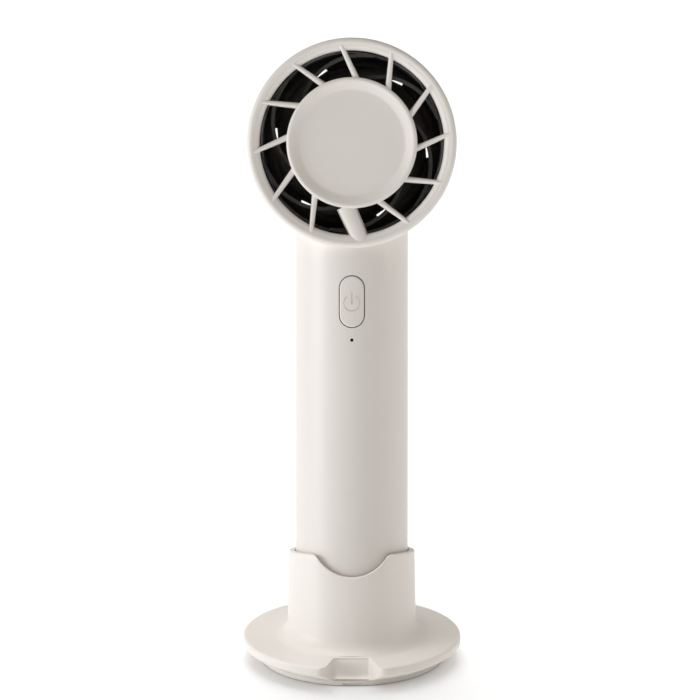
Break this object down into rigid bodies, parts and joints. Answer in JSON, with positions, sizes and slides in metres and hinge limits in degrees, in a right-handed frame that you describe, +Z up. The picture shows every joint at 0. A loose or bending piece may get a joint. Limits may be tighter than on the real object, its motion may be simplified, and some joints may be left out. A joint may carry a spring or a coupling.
{
  "type": "handheld electric fan",
  "caption": "Cordless handheld fan with a round guarded head and a straight round handle, leaning back in a round desk stand.",
  "frame": {"origin": "centre of the stand's foot, on the table", "axes": "+Z up; the fan faces -Y and leans back towards +Y; +X is to the right seen from the front"},
  "size_m": [0.072, 0.0929, 0.2033],
  "materials": {
    "shell_front": "fine satin moulded off-white",
    "shell_rear": "fine satin moulded off-white",
    "shell_cap": "fine satin moulded off-white",
    "guard": "fine satin moulded off-white",
    "hub_cap": "fine satin moulded off-white",
    "grille": "fine satin moulded off-white",
    "stand_plastic": "fine satin moulded off-white",
    "stand_plate": "satin moulded off-white",
    "rubber_pad": "dull non-slip rubber",
    "steel_screw": "zinc-plated",
    "duct": "black satin",
    "impeller": "glossy black",
    "aluminium": "turned",
    "lamination": "laminated steel",
    "copper": "enamelled copper wire",
    "bearing_steel": "ground steel",
    "can_steel": "drawn steel",
    "magnet": "sintered magnet",
    "shaft_steel": "ground steel",
    "clip_steel": "spring steel",
    "board": "green solder mask",
    "chip": "black epoxy",
    "wire_red": "wire insulation",
    "wire_black": "wire insulation",
    "button": "satin moulded off-white",
    "switch_black": "black moulded plastic",
    "led": "clear resin",
    "lens": "smoky clear plastic",
    "port_steel": "nickel-plated",
    "cell_wrap": "heat-shrink sleeve",
    "nickel": "nickel strip",
    "tray": "dark moulded plastic"
  },
  "bodies": {
    "stand": {"stand_cup": "stand_plastic", "stand_base_plate": "stand_plate", "stand_foot_pad": "rubber_pad", "stand_screws": "steel_screw"},
    "fan": {"front_shell": "shell_front", "rear_shell": "shell_rear", "bottom_cap": "shell_cap", "front_guard": "guard", "hub_cap": "hub_cap", "duct_ring": "duct", "rear_grille": "grille", "motor_base": "aluminium", "motor_stator": "lamination", "motor_coils": "copper", "motor_board": "board", "motor_bearings": "bearing_steel", "motor_screws": "steel_screw", "motor_wires": "wire_red", "switch_body": "switch_black", "main_board": "board", "board_chips": "chip", "board_screws": "steel_screw", "indicator_led": "led", "indicator_lens": "lens", "charge_board": "board", "usb_c_shell": "port_steel", "usb_c_tongue": "switch_black", "battery_cell": "cell_wrap", "battery_tabs": "nickel", "battery_leads": "wire_red", "battery_tray": "tray", "tray_screws": "steel_screw", "charge_leads": "wire_black"},
    "impeller": {"impeller": "impeller", "rotor_can": "can_steel", "rotor_magnets": "magnet", "motor_shaft": "shaft_steel", "shaft_clip": "clip_steel"},
    "button": {"power_button": "button", "switch_plunger": "switch_black"}
  },
  "joints": [
    {"name": "fan_lift", "type": "slide", "parent": "stand", "child": "fan", "axis": [0, 0.2079, 0.9781], "range_m": [0, 0.035]},
    {"name": "impeller_spin", "type": "hinge", "parent": "fan", "child": "impeller", "pos_m": [0, 0.03368, 0.16606], "axis": [0, -0.9781, 0.2079], "continuous": true},
    {"name": "button_press", "type": "slide", "parent": "fan", "child": "button", "axis": [0, 0.9781, -0.2079], "range_m": [0, 0.0006], "stiffness_N_per_m": 1000, "springref_m": -0.0005}
  ]
}
